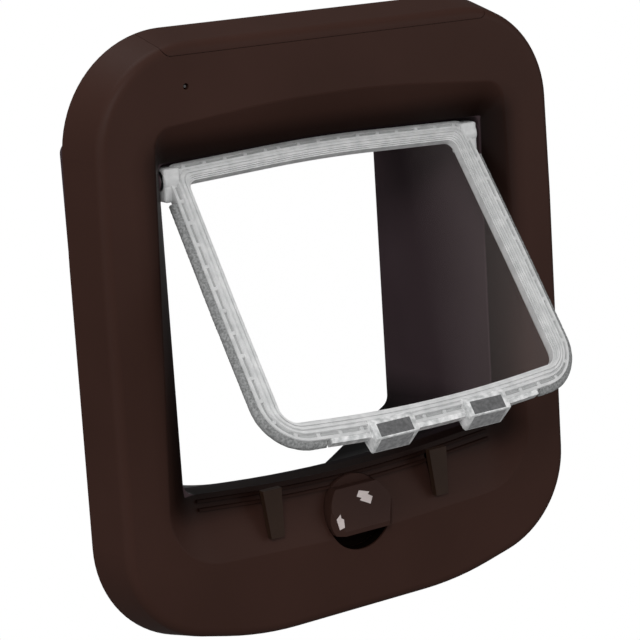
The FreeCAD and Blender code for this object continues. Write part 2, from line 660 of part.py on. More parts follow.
def make_flap():
    """Pane with a chamfered bead round it, then a ridge, a channel and the flange at the edge."""
    corners = flap_outline()
    rim = size("flap_rim_width")
    least = size("bead_half")
    flap = prism(corners, -size("channel_half"), size("channel_half"))
    pane = prism(inset(corners, rim, least), -size("flap_pane_half"), size("flap_pane_half"))
    flap = flap.cut(prism(inset(corners, rim, least), -FAR, FAR)).fuse(pane)
    bead = rim_ring(corners, rim - size("bead_width"), rim, size("bead_half"), least)
    edges = edges_at(bead, -size("bead_half")) + edges_at(bead, size("bead_half"))
    bead = bead.makeChamfer(size("bead_chamfer"), edges)
    ridge_end = size("ridge_inset") + size("ridge_width")
    ridge = rim_ring(corners, size("ridge_inset"), ridge_end, size("ridge_half"), least)
    flange = rim_ring(corners, 0, size("channel_inset"), size("flange_half"), least)
    flap = flap.fuse([bead, ridge, flange])
    start = FLAP_SHOULDER_HALF - size("boss_overlap")
    for side in (-1, 1):
        root = Vector(side * start, 0, 0)
        along = Vector(side, 0, 0)
        flap = flap.fuse(Part.makeCylinder(size("flap_boss_radius"), FLAP_BOSS - start, root, along))
        pin_length = FLAP_BOSS - start + size("socket_gap") + size("pivot_length")
        flap = flap.fuse(Part.makeCylinder(size("pivot_radius"), pin_length, root, along))
        seat = magnet_box(side, size("fit_gap") / 2)
        mouth = seat.translated(Vector(0, size("block_thickness") / 2, 0))
        flap = flap.fuse(latch_block(side)).cut(seat).cut(mouth)
    feature = named("flap", flap.removeSplitter())
    feature.Placement = FLAP_PLACE


def make_magnets():
    for side, label in ((-1, "flap_magnet_left"), (1, "flap_magnet_right")):
        magnet = doc.addObject("Part::Box", label)
        magnet.Label = label
        magnet.setExpression("Length", "Sizes.magnet_width")
        magnet.setExpression("Width", "Sizes.magnet_thickness")
        magnet.setExpression("Height", "Sizes.magnet_height")
        corner = Vector(side * size("block_half") - size("magnet_width") / 2,
                        -size("magnet_thickness") / 2,
                        -BLOCK_DROP + size("block_height") / 2 - size("magnet_height") / 2)
        magnet.Placement = FLAP_PLACE.multiply(Placement(corner, Rotation()))
        SUB_PARTS.append(magnet)


def make_seals():
    corners = flap_outline()
    thick = size("seal_thickness") / 2
    band = prism(inset(corners, -size("seal_width")), -thick, thick).cut(prism(corners, -FAR, FAR))
    for side, label in ((-1, "seal_left"), (1, "seal_right")):
        near = size("seal_end_half")
        zone = block(min(side * near, side * FAR), max(side * near, side * FAR), -FAR, FAR,
                     -FAR, -size("seal_start"))
        feature = named(label, band.common(zone))
        feature.Placement = FLAP_PLACE


# Lock dial, its cam and its screw

def make_dial():
    radius = size("dial_radius")
    back = -size("pocket_floor") - size("fit_gap")
    disc_front = back - size("dial_disc")
    face = -size("dial_face")
    disc = rod(0, 0, radius, disc_front, back)
    grip = rod(0, 0, radius, face, disc_front)
    grip = grip.common(block(-radius, radius, -FAR, FAR, -size("grip_below"), size("grip_above")))
    above = radius + size("grip_above")
    slope_foot = face + size("grip_slope_depth")
    brow = size("grip_brow") - size("grip_below")
    slope = [Vector(-radius, face, brow), Vector(-radius, face, above),
             Vector(-radius, disc_front, above), Vector(-radius, slope_foot, size("grip_above"))]
    grip = grip.cut(swept(slope, Vector(2 * radius, 0, 0)))
    for side in (1, -1):
        beyond = side * (radius + WALL)
        flank = [Vector(side * size("flank_start"), face - WALL, -radius),
                 Vector(side * size("flank_start"), face, -radius),
                 Vector(beyond, face + size("flank_depth"), -radius), Vector(beyond, face - WALL, -radius)]
        grip = grip.cut(swept(flank, Vector(0, 0, 2 * radius)))
    spindle_end = -size("pocket_floor") + size("pocket_floor_thickness") + size("fit_gap")
    dial = disc.fuse([grip, rod(0, 0, size("spindle_radius"), back, spindle_end)])
    hole = rod(0, 0, size("dial_screw_radius") + size("screw_clearance") / 2,
               spindle_end - size("dial_screw_length"), FAR)
    feature = named("lock_dial", dial.cut(hole).removeSplitter())
    feature.Placement = Placement(Vector(0, 0, DIAL_HEIGHT), Rotation())
    return spindle_end


def make_cam(start):
    """Lobed disc on the end of the spindle, one lobe for each locked position."""
    body = new_body("selector_cam")
    sketch = new_sketch(body, "XZ_Plane", "cam_profile")
    circle(sketch, "Sizes.cam_radius")
    circle(sketch, "Sizes.dial_screw_radius + Sizes.screw_clearance")
    disc = pad(body, sketch, "cam_disc", "Sizes.cam_thickness", reverse=True)
    lobe_sketch = new_sketch(body, "XZ_Plane", "lobe_profile")
    circle(lobe_sketch, "Sizes.cam_lobe", "0", "Sizes.cam_radius * -1")
    lobe = pad(body, lobe_sketch, "cam_lobe", "Sizes.cam_thickness", reverse=True)
    doc.recompute()
    pattern = body.newObject("PartDesign::PolarPattern", "cam_lobes")
    pattern.Originals = [lobe]
    pattern.Axis = (sketch, ["N_Axis"])
    pattern.Angle = 270
    pattern.Occurrences = 4
    body.Tip = pattern
    body.Placement = Placement(Vector(0, start, DIAL_HEIGHT), Rotation())


def make_dial_screw(start):
    corners = [("0", "0"), ("0", "Sizes.dial_screw_head_radius"),
               ("Sizes.dial_screw_head", "Sizes.dial_screw_head_radius"),
               ("Sizes.dial_screw_head", "Sizes.dial_screw_radius"),
               ("Sizes.dial_screw_length", "Sizes.dial_screw_radius"),
               ("Sizes.dial_screw_length", "0")]
    place = Placement(Vector(0, start + size("cam_thickness") + size("dial_screw_head"), DIAL_HEIGHT),
                      Rotation(Vector(0, 0, 1), -90))
    turned("dial_screw", corners, place)


def make_cover_screws():
    """All screws of the rear cover, a group of like fasteners."""
    head_face = -size("cover_screw_head")
    screws = []
    for x, z in COVER_SCREW_PLACES:
        head = rod(x, z, size("cover_screw_head_radius"), head_face, 0)
        shank = rod(x, z, size("cover_screw_radius"), head_face - size("cover_screw_length"), head_face)
        screws.append(head.fuse(shank).removeSplitter())
    named("cover_screws", Part.makeCompound(screws))


# Latch

def make_fingers():
    """Two like blades whose left edge slants, each on a shank that reaches the carriage."""
    for side, label in ((-1, "latch_finger_left"), (1, "latch_finger_right")):
        body = new_body(label)
        sketch = new_sketch(body, "XZ_Plane", f"{label}_face")
        closed_profile(sketch, [
            ("Sizes.finger_bottom_width / 2 - Sizes.finger_top_width", "Sizes.finger_height"),
            ("Sizes.finger_bottom_width / 2", "Sizes.finger_height"),
            ("Sizes.finger_bottom_width / 2", "0"),
            ("-Sizes.finger_bottom_width / 2", "0")])
        pad(body, sketch, f"{label}_blade", "Sizes.finger_thickness", reverse=True)
        shank = new_sketch(body, "XZ_Plane", f"{label}_section")
        closed_profile(shank, [
            ("-Sizes.shank_width / 2", "Sizes.shank_height"),
            ("Sizes.shank_width / 2", "Sizes.shank_height"),
            ("Sizes.shank_width / 2", "0"),
            ("-Sizes.shank_width / 2", "0")])
        pad(body, shank, f"{label}_shank", "Sizes.finger_front - Sizes.carriage_front", reverse=True)
        place = Vector(side * FINGER_PLACE, -size("finger_front"), FINGER_BOTTOM)
        body.Placement = Placement(place, Rotation())


def gear_tooth(pitch_line, y_start, y_end):
    """Straight-sided tooth that points along +X and is centred on X's line."""
    module = size("gear_module")
    root = pitch_line - size("gear_root") * module
    tip = pitch_line + size("gear_tip") * module
    middle_half = math.pi * module / 4 - size("gear_backlash") / 2
    lean = math.tan(math.radians(size("gear_angle")))
    root_half = middle_half + (pitch_line - root) * lean
    tip_half = middle_half - (tip - pitch_line) * lean
    points = [Vector(root - WALL / 10, y_start, -root_half), Vector(tip, y_start, -tip_half),
              Vector(tip, y_start, tip_half), Vector(root - WALL / 10, y_start, root_half)]
    return swept(points, Vector(0, y_end - y_start, 0))


def make_carriage():
    """Crossbar with two uprights for the fingers and a toothed rack at one end."""
    front = -size("carriage_front")
    back = front + size("carriage_thickness")
    half = size("upright_width") / 2
    shank_top = FINGER_BOTTOM + size("shank_height")
    line = size("rack_pitch_line")
    pitch = math.pi * size("gear_module")
    root = line - size("gear_root") * size("gear_module")
    low = CARRIAGE_TOP - size("carriage_height")
    parts = [block(-FINGER_PLACE - half, root, front, back, low, CARRIAGE_TOP)]
    for side in (-1, 1):
        middle = side * FINGER_PLACE
        parts.append(block(middle - half, middle + half, front, back, low, shank_top))
    parts.append(block(root - size("rack_web"), root, front, back, RACK_END, CARRIAGE_TOP))
    teeth_up = int(size("pinion_below") / pitch)
    teeth_down = int(size("rack_below") / pitch)
    for number in range(-teeth_down, teeth_up + 1):
        one = gear_tooth(line, front, back)
        one.translate(Vector(0, 0, PINION_HEIGHT + number * pitch))
        parts.append(one)
    named("latch_carriage", parts[0].fuse(parts[1:]).removeSplitter())


def pinion_radius():
    """Radius of the pinion's pitch circle."""
    return size("gear_module") * size("pinion_teeth") / 2


def pinion_place():
    return Placement(Vector(size("rack_pitch_line") + pinion_radius(), 0, PINION_HEIGHT), Rotation())


def make_pinion():
    front = -size("carriage_front")
    back = front + size("carriage_thickness")
    teeth = int(size("pinion_teeth"))
    wheel = rod(0, 0, pinion_radius() - size("gear_root") * size("gear_module"), front, back)
    for number in range(teeth):
        one = gear_tooth(pinion_radius(), front, back)
        one.rotate(Vector(0, 0, 0), Vector(0, 1, 0), 360 / teeth * (number + 0.5))
        wheel = wheel.fuse(one)
    bore = size("motor_shaft_radius") + size("motor_shaft_clearance")
    feature = named("motor_pinion", wheel.cut(rod(0, 0, bore, -FAR, FAR)).removeSplitter())
    feature.Placement = pinion_place()


def make_motor():
    """Round can motor with two flats, its shaft through the pinion."""
    back = -size("carriage_front") - size("fit_gap")
    can = rod(0, 0, size("motor_radius"), back - size("motor_length"), back)
    can = can.common(block(-FAR, FAR, -FAR, FAR, -size("motor_flat"), size("motor_flat")))
    end = back + size("carriage_thickness") + size("shaft_end")
    feature = named("latch_motor", can.fuse(rod(0, 0, size("motor_shaft_radius"), back, end)))
    feature.Placement = pinion_place()


make_fascia()
make_battery_cover()
make_rear_cover()
make_tunnel()
make_board()
make_light()
make_coil()
make_tray()
make_cells()
make_contacts()
make_flap()
make_magnets()
make_seals()
spindle_end = make_dial()
make_cam(spindle_end)
make_dial_screw(spindle_end)
make_cover_screws()
make_fingers()
make_carriage()
make_pinion()
make_motor()
doc.recompute()

for feature in doc.Objects:
    if "Invalid" in feature.State or "Error" in feature.State:
        raise RuntimeError(f"{feature.Label} failed: {feature.State}")
os.makedirs("parts", exist_ok=True)
for feature in SUB_PARTS:
    shape = feature.Shape
    if shape.isNull() or not shape.isValid() or not shape.Solids:
        raise RuntimeError(f"{feature.Label} has no valid solid")
    shape.exportStep(f"parts/{feature.Label}.step")
    print(f"{feature.Label}: {len(shape.Solids)} solid, {shape.Volume / 1000:.2f} cm3")
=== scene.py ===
# Cat flap seen as in its photograph: brown moulded frame, clear flap swung into the room,
# pile seals, lock dial with its printed arrows, tunnel behind the opening.
import json
import math
import bpy
import bmesh
from mathutils import Matrix, Vector, noise


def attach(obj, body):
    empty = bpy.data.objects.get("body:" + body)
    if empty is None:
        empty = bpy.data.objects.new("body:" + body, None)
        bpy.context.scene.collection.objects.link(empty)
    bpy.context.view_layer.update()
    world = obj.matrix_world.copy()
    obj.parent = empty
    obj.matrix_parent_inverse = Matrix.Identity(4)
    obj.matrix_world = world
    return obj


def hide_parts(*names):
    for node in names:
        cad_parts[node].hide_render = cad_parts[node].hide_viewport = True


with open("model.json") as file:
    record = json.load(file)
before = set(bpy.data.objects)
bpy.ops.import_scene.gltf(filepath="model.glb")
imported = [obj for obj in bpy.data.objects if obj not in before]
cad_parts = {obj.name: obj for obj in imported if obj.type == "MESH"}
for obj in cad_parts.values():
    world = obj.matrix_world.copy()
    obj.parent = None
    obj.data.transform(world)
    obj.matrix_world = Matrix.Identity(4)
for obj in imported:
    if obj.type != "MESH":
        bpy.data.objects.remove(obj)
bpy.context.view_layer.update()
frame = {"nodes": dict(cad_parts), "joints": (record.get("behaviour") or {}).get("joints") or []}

# Sizes are in millimetres and angles in degrees where nothing else is said
MM = 0.001
HINGE_JOINT = next(joint for joint in frame["joints"] if joint["name"] == "flap_swing")
DIAL_JOINT = next(joint for joint in frame["joints"] if joint["name"] == "dial_turn")
HINGE = Vector(HINGE_JOINT["pos_m"])
DIAL_MIDDLE = Vector((0, 0, DIAL_JOINT["pos_m"][2]))
MERGE_METRES = 1e-6

# The flap's own frame: its hinge line, turned out of upright into the room
FLAP_ANGLE = 35.8
FLAP_FRAME = Matrix.Translation(HINGE) @ Matrix.Rotation(-math.radians(FLAP_ANGLE), 4, "X")
# The flap's outline, right half from the top: across, up from the hinge line, corner radius
FLAP_CORNERS = [(0, 8.4, 600.0), (75.5, 5.2, 5.0), (76.6, -60.0, 400.0), (76.8, -120.9, 19.5),
                (0, -127.3, 600.0)]
LEAST_RADIUS = 4.0
# How much faster than the distance a corner's radius shrinks on the way in
TIGHTEN = 1.5
# Steps round each corner and along each side, for the rim and for the thin strips on its edge
ARC_STEPS = 10
SIDE_STEPS = 12
FINE_ARC_STEPS = 24
FINE_SIDE_STEPS = 90

# The rim's section, the same to the front and back: how far in, and half its thickness there
RIM_WIDTH = 8.6
RIM_SECTION = [(0.0, 2.3), (0.15, 2.6), (1.3, 2.6), (1.4, 2.4), (1.5, 1.8), (2.7, 1.8), (2.85, 3.1),
               (3.1, 3.4), (3.9, 3.4), (4.1, 2.9), (4.4, 2.9), (4.6, 3.5), (4.8, 3.7), (5.7, 3.8),
               (5.8, 3.3), (6.1, 3.3), (6.2, 3.9), (7.1, 3.9), (7.2, 3.3), (7.6, 3.3), (7.7, 2.5),
               (8.1, 2.5), (8.2, 1.7), (RIM_WIDTH, 1.7), (RIM_WIDTH, 1.0)]
# A skin on the floor of the rim's channel, coloured darker than the rim: painted shade in the
# channel's depth
CHANNEL_SECTION = [(1.52, 1.86), (2.65, 1.86)]
RIB_PITCH = 10.0
RIB_LINE = 2.05
RIB_SIZE = (1.7, 5.0, 2.1)
RIB_BEVEL = 0.2
PANE_HALF = 1.1
PANE_OVERLAP = 0.1

# Hinge: bosses and pins on the hinge line, and the tabs that hang from the bosses
BOSS_RADIUS = 5.0
BOSS_START = 71.5
BOSS_END = 78.7
BOSS_BEVEL = 0.8
PIN_RADIUS = 2.0
PIN_END = 83.0
PIN_SIDES = 24
EAR_DROP = 8.8
EAR_HALF = 4.4
EAR_OVERLAP = 0.5
EAR_BEVEL = 1.0

# Latch blocks: the section from the brow down the front and round the back, as depth and height
BLOCK_MIDDLE = 23.1
BLOCK_HALF = 10.6
BLOCK_SLANT = 1.4
BLOCK_DEPTH = 5.0
BLOCK_BROW = -121.6
BLOCK_RIDGE = -128.6
BLOCK_SECTION = [(-BLOCK_DEPTH, BLOCK_BROW), (-BLOCK_DEPTH, BLOCK_RIDGE), (4.2, -131.2),
                 (BLOCK_DEPTH, -130.0), (BLOCK_DEPTH, BLOCK_BROW), (2.4, -118.4), (-2.4, -118.4)]
BLOCK_BEVEL = 0.35
SHARP_RADIANS = 0.3
# Skins on the blocks where the magnets show: half width, thickness, low and high edge
MAGNET_HALF = 8.0
MAGNET_SKIN = 0.1
MAGNET_FRONT = ((-BLOCK_DEPTH, -128.0), (-BLOCK_DEPTH, -122.4))
MAGNET_FOOT = ((3.4, -131.03), (-4.2, -128.87))

# Lip under the rim's lower edge: its reach to each side, its drop, its root, and half thicknesses
LOWER_LIP_HALF = 51.5
LOWER_LIP_DROP = 2.0
LOWER_LIP_ROOT = 0.4
LOWER_LIP_EDGE_HALF = 2.0
LOWER_LIP_ROOT_HALF = 2.5

# Pile strips: how far they stand out and reach in, their depths, and where they start and end
SEAL_WIDTH = 2.5
SEAL_ROOT = 1.5
SEAL_FRONT = 1.9
SEAL_BACK = 3.0
SEAL_TOP = -12.0
SEAL_END = 53.5
# The pile's section: share of the way out, and share of its depth to the back or front
PILE_SECTION = [(0.0, 0.9), (0.35, 1.0), (0.7, 0.85), (0.95, 0.5), (1.05, 0.0), (0.95, -0.5),
                (0.7, -0.85), (0.35, -1.0), (0.0, -0.9)]
PILE_SHAKE = 0.14
PILE_CALM_ROOT = 3
# Noise for each direction of the pile's shake: how fast it changes, and where it starts
PILE_NOISE = [(1.3, (0, 0, 0)), (1.7, (9, 0, 0)), (1.3, (0, 9, 0))]

# Lip under the tunnel's top edge
LIP_HALF = 79.5
LIP_TOP = 66.8
LIP_ARCH = 2.9
LIP_BOTTOM = 60.2
LIP_FRONT = 0.9
LIP_BACK = 2.4

# Dark skins that paint the shade in the hollow under the dial's grip, from the dial's middle
FLOOR_TOP = 7.2
FLOOR_RADIUS = 15.95
FLOOR_FRONT = -16.0
FLOOR_THICKNESS = 0.3
WALL_RADII = (16.2, 16.34)
WALL_FRONT = -21.0
WALL_ANGLE = 75
HOLLOW_STEPS = 24

# Print on the dial's grip, from the dial's middle
GRIP_FRONT = -27.0
GRIP_SLANT = Vector((0, 7.5, 17.0)).normalized()
GRIP_FLANK = Vector((-1, 1, 0)).normalized()
INK_HALF = 0.05
DOUBLE_ARROW = [(0.6, 16.0), (5.6, 14.4), (4.4, 13.5), (6.5, 12.1), (4.5, 9.2), (-0.3, 11.8),
                (0.9, 12.6), (-1.3, 13.6)]
SIDE_ARROW = [(1.8, 3.0), (1.6, 1.2), (0.5, 0.7), (0.3, -2.9), (2.5, -4.1), (3.7, 0.6)]

# Painted shade in the dish round the opening. The opening reaches through any depth.
OPENING_MIDDLE = Vector((0, 0, -5.2)) * MM
OPENING_REACH = Vector((80.3, 1000.0, 69.0)) * MM
DISH_WIDTH = 18.0
# Painted sheen: what turns the frame's brown to the tunnel's on the collar between them
COLLAR_SHEEN_TINT = (1.3, 1.9, 2.9, 1)
COLLAR_SHEEN_SHARE = 0.025
# Share of the way out over the dish, and share of the light there
DISH_SHADES = [(0.045, 0.12), (0.36, 0.3), (0.75, 0.88)]
SHADE_GREEN = 0.75
SHADE_BLUE = 0.6
# Painted shade on the tunnel's floor: where it is deepest, where it ends, and how deep it is
TUNNEL_DARK = -82
TUNNEL_LIGHT = -62
TUNNEL_SHADE = 0.03

# The pane's painted sheen, a painted reflection, grows over a stretch of its own direction
SHEEN_WAY = (1.0, 0.0, -0.35)
SHEEN_START = 20
SHEEN_FULL = 100
SHEEN_LEAST = 0.001
SHEEN = 0.1

# Room: its grey before and behind the part, and the white paper round the direction of the view
ROOM_FRONT = 0.35
ROOM_BACK = 0.12
ROOM_BLEND = 0.4
PAPER_WAY = (0.525, 0.822, -0.219)
PAPER_EDGE = 0.951
PAPER_FULL = 0.970
# Lights, all turned to the part: place, width and height in metres, and watts
SOFTBOXES = {
    "key_light": ((-1.2, -1.7, 1.2), 0.7, 0.7, 21),
    "top_light": ((-0.3, 0.5, 1.7), 1.0, 1.0, 12),
    "side_light": ((-1.5, -0.45, 0.3), 0.6, 1.2, 4),
    "fill_light": ((1.5, -1.6, 0.4), 1.4, 1.4, 10),
}

# The camera from a fit to the photograph: angles, focal length and picture width in pixels, and
# the fit's origin as the camera sees it (right, down, ahead) and in the part
CAMERA_TURN = 32.585
CAMERA_TILT = 12.66
CAMERA_ROLL = 3.601
FOCAL_PIXELS = 2200.0
PICTURE_PIXELS = 640.0
FIT_OFFSET = Vector((-0.567, -17.003, 946.0))
FIT_ORIGIN = Vector((0, 0, 2.0))
SENSOR_WIDTH = 36.0


# Meshes

def finish_piece(bm, name, body, material, place=None, smooth=None):
    """Turns a bmesh into an object at the origin that rides on a body."""
    if place:
        bmesh.ops.transform(bm, matrix=place, verts=bm.verts)
    mesh = bpy.data.meshes.new(name)
    bm.to_mesh(mesh)
    bm.free()
    piece = bpy.data.objects.new(name, mesh)
    bpy.context.scene.collection.objects.link(piece)
    mesh.materials.append(material)
    if smooth:
        mesh.shade_smooth()
        mesh.set_sharp_from_angle(angle=math.radians(smooth))
    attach(piece, body)
    return piece


def edges_of(made):
    """The edges at the points that an operator made, each once and always in the same order."""
    return list(dict.fromkeys(edge for vert in made["verts"] for edge in vert.link_edges))


def round_edges(bm, edges, offset, segments):
    bmesh.ops.bevel(bm, geom=edges, offset=offset * MM, offset_type="OFFSET", segments=segments,
                    profile=0.5, affect="EDGES", material=-1)


def mirrored(half):
    """Closes a right half outline; points on the middle line stay single."""
    return half + [(-x, z, r) for x, z, r in reversed(half) if x > 0]


def inset(corners, by):
    """Moves every side of a clockwise outline in by a distance."""
    moved = []
    count = len(corners)
    for i, (x, z, radius) in enumerate(corners):
        here = Vector((x, z))
        way_in = (here - Vector(corners[i - 1][:2])).normalized()
        way_out = (Vector(corners[(i + 1) % count][:2]) - here).normalized()
        bisector = Vector((way_in.y, -way_in.x)) + Vector((way_out.y, -way_out.x))
        point = here + bisector * (by * 2 / bisector.length_squared)
        tighter = by * TIGHTEN if by > 0 else by
        moved.append((point.x, point.y, max(radius - tighter, LEAST_RADIUS)))
    return moved


def outline_points(corners, arc_steps=ARC_STEPS, side_steps=SIDE_STEPS):
    """Points round an outline: each corner's arc, then the straight side after it."""
    arcs = []
    count = len(corners)
    for i, (x, z, radius) in enumerate(corners):
        here = Vector((x, z))
        back = (Vector(corners[i - 1][:2]) - here).normalized()
        ahead = (Vector(corners[(i + 1) % count][:2]) - here).normalized()
        half_angle = back.angle(ahead) / 2
        reach = radius / math.tan(half_angle)
        centre = here + (back + ahead).normalized() * (radius / math.sin(half_angle))
        start = here + back * reach - centre
        turn = (here + ahead * reach - centre).angle_signed(start)
        arcs.append([centre + Matrix.Rotation(turn * step / arc_steps, 2) @ start
                     for step in range(arc_steps + 1)])
    points = []
    for i, arc in enumerate(arcs):
        points += arc
        following = arcs[(i + 1) % count][0]
        for step in range(1, side_steps):
            points.append(arc[-1].lerp(following, step / side_steps))
    return points


def skin(bm, loops, closed):
    """Surface through loops of points in millimetres, each extruded from the one before.

    A closed one ends on its first loop; an open one is capped at both ends.
    """
    verts = [bm.verts.new(point * MM) for point in loops[0]]
    edges = [bm.edges.new((verts[i - 1], verts[i])) for i in range(len(verts))]
    if not closed:
        bmesh.ops.contextual_create(bm, geom=edges)
    for loop in loops[1:] + (loops[:1] if closed else []):
        made = bmesh.ops.extrude_edge_only(bm, edges=edges)["geom"]
        fresh = {item for item in made if isinstance(item, bmesh.types.BMVert)}
        verts = [next(edge.other_vert(vert) for edge in vert.link_edges
                      if edge.other_vert(vert) in fresh) for vert in verts]
        edges = [item for item in made if isinstance(item, bmesh.types.BMEdge)
                 and item.verts[0] in fresh and item.verts[1] in fresh]
        for vert, point in zip(verts, loop):
            vert.co = point * MM
    if not closed:
        bmesh.ops.contextual_create(bm, geom=edges)
    bmesh.ops.remove_doubles(bm, verts=bm.verts, dist=MERGE_METRES)
    bmesh.ops.recalc_face_normals(bm, faces=bm.faces)


def bar(bm, low, high, bevel):
    """Box between two corners in millimetres, its edges rounded."""
    size = Vector(high) - Vector(low)
    middle = (Vector(high) + Vector(low)) / 2
    made = bmesh.ops.create_cube(bm, size=MM)
    bmesh.ops.scale(bm, vec=size, verts=made["verts"])
    bmesh.ops.translate(bm, vec=middle * MM, verts=made["verts"])
    round_edges(bm, edges_of(made), bevel, 2)


def rod_x(bm, start, end, radius, segments=40, bevel=0.0):
    """Round rod along X on the hinge line, the edges of its ends rounded."""
    turn = Matrix.Rotation(math.radians(90), 4, "Y")
    place = Matrix.Translation(Vector(((start + end) / 2 * MM, 0, 0))) @ turn
    made = bmesh.ops.create_cone(bm, cap_ends=True, cap_tris=False, segments=segments,
                                 radius1=radius * MM, radius2=radius * MM,
                                 depth=abs(end - start) * MM, matrix=place)
    if bevel:
        rims = [edge for edge in edges_of(made)
                if abs(edge.verts[0].co.x - edge.verts[1].co.x) < MERGE_METRES]
        round_edges(bm, rims, bevel, 3)


# Materials

def linear(colour):
    """Linear RGBA of an sRGB hex colour."""
    parts = [int(colour[i:i + 2], 16) / 255 for i in (1, 3, 5)]
    return [c / 12.92 if c <= 0.04045 else ((c + 0.055) / 1.055) ** 2.4 for c in parts] + [1.0]


def add(tree, kind, links=None, **settings):
    """One shader node with its settings, its plain values and its links."""
    node = tree.nodes.new("ShaderNode" + kind)
    for name, value in settings.items():
        setattr(node, name, value)
    for socket, value in (links or {}).items():
        if isinstance(value, bpy.types.NodeSocket):
            tree.links.new(value, node.inputs[socket])
        else:
            node.inputs[socket].default_value = value
    return node


def finish(name, colours, patch, grain, relief, **sockets):
    """Surface whose colour drifts between two hex values over patches, with a fine grain.

    patch and grain are sizes in millimetres, relief is the grain's height in millimetres.
    """
    material = bpy.data.materials.new(name)
    material.use_nodes = True
    tree = material.node_tree
    shader = tree.nodes["Principled BSDF"]
    place = add(tree, "TexCoord").outputs["Object"]
    drift = add(tree, "TexNoise", {"Vector": place, "Scale": 1000 / patch, "Detail": 3.0})
    ramp = add(tree, "ValToRGB", {"Fac": drift.outputs["Fac"]})
    ramp.color_ramp.elements[0].position = 0.35
    ramp.color_ramp.elements[0].color = linear(colours[0])
    ramp.color_ramp.elements[1].position = 0.65
    ramp.color_ramp.elements[1].color = linear(colours[1])
    tree.links.new(ramp.outputs["Color"], shader.inputs["Base Color"])
    speckle = add(tree, "TexNoise", {"Vector": place, "Scale": 1000 / grain, "Detail": 2.0})
    bump = add(tree, "Bump", {"Height": speckle.outputs["Fac"], "Distance": relief * MM,
                              "Strength": 1.0})
    tree.links.new(bump.outputs["Normal"], shader.inputs["Normal"])
    for socket, value in sockets.items():
        shader.inputs[socket.replace("_", " ").title().replace("Ior", "IOR")].default_value = value
    return material


ABS = finish("spark_eroded_brown_abs", ("#37231d", "#3b2620"), 60, 0.9, 0.02, roughness=0.5,
             specular_ior_level=0.08)
LINER = finish("moulded_brown_abs", ("#403337", "#46393d"), 80, 1.2, 0.01, roughness=0.5,
               specular_ior_level=0.05)
DIAL_ABS = finish("satin_brown_abs", ("#34211c", "#38251f"), 30, 0.8, 0.008, roughness=0.5,
                  specular_ior_level=0.1)
ACETAL = finish("moulded_brown_acetal", ("#2b1c13", "#312118"), 20, 0.8, 0.01, roughness=0.45,
                specular_ior_level=0.2)
FROST = finish("frosted_polycarbonate", ("#e3e4e4", "#f8f8f8"), 5, 1.6, 0.01, roughness=0.3,
               transmission_weight=0.25, ior=1.5)
# Darker copy of the frost: painted shade on the floor of the rim's channel
SHADED = finish("frosted_polycarbonate_painted_channel_shade", ("#b0b1b1", "#bcbdbd"), 12, 1.6, 0.01,
                roughness=0.4)
PILE = finish("grey_polypropylene_pile", ("#707171", "#9d9e9e"), 0.9, 0.6, 0.12, roughness=0.95)
# Near-black brown for the painted shade in the dial's hollow
DARK = finish("shadowed_brown_abs", ("#0b0503", "#100805"), 30, 0.8, 0.008, roughness=0.8,
              specular_ior_level=0.02)
PRINT = finish("pad_printed_ink", ("#c9bcb9", "#d8ccc9"), 6, 0.6, 0.004, roughness=0.5)
MAGNET = finish("ground_ferrite", ("#565657", "#6c6c6d"), 1.5, 0.5, 0.01, roughness=0.7)
PALE_MAGNET = finish("ferrite_through_frost", ("#838384", "#a2a2a3"), 1.8, 0.5, 0.01, roughness=0.7)
STEEL = finish("zinc_plated_steel", ("#b4b4b0", "#c6c6c2"), 6, 0.4, 0.004, roughness=0.32,
               metallic=1.0)
COPPER = finish("enamelled_copper_wire", ("#8a3f1d", "#a8542a"), 4, 0.5, 0.03, roughness=0.3,
                metallic=1.0)
BOARD = finish("solder_masked_glass_epoxy", ("#0f4a28", "#155c33"), 8, 0.6, 0.01, roughness=0.4)
TRAY = finish("moulded_black_abs", ("#1b1a1a", "#222121"), 20, 0.8, 0.01, roughness=0.45)
CELL = finish("lacquered_cell_can", ("#8d8f93", "#a2a4a8"), 15, 0.8, 0.004, roughness=0.3,
              metallic=0.8)
LENS = finish("tinted_clear_resin", ("#150605", "#1c0807"), 3, 0.5, 0.002, roughness=0.15)
# Its colour drift up to white is painted glints on the clear plastic
CLEAR = finish("clear_polycarbonate", ("#c6c8c8", "#ffffff"), 3, 1.5, 0.002, roughness=0.12,
               transmission_weight=0.12, ior=1.5)


def base_colour(tree):
    """The shader's colour socket and what reaches it."""
    socket = tree.nodes["Principled BSDF"].inputs["Base Color"]
    return socket, socket.links[0].from_socket


def paint_floor_shade(material):
    """Paints shade into a surface's colour, deepening towards the tunnel's floor."""
    tree = material.node_tree
    socket, colour = base_colour(tree)
    height = add(tree, "SeparateXYZ", {"Vector": add(tree, "TexCoord").outputs["Object"]})
    share = add(tree, "MapRange", {"Value": height.outputs["Z"], "From Min": TUNNEL_DARK * MM,
                                   "From Max": TUNNEL_LIGHT * MM, "To Min": TUNNEL_SHADE,
                                   "To Max": 1.0})
    shaded = add(tree, "VectorMath", {0: colour, "Scale": share.outputs["Result"]},
                 operation="SCALE")
    tree.links.new(shaded.outputs["Vector"], socket)


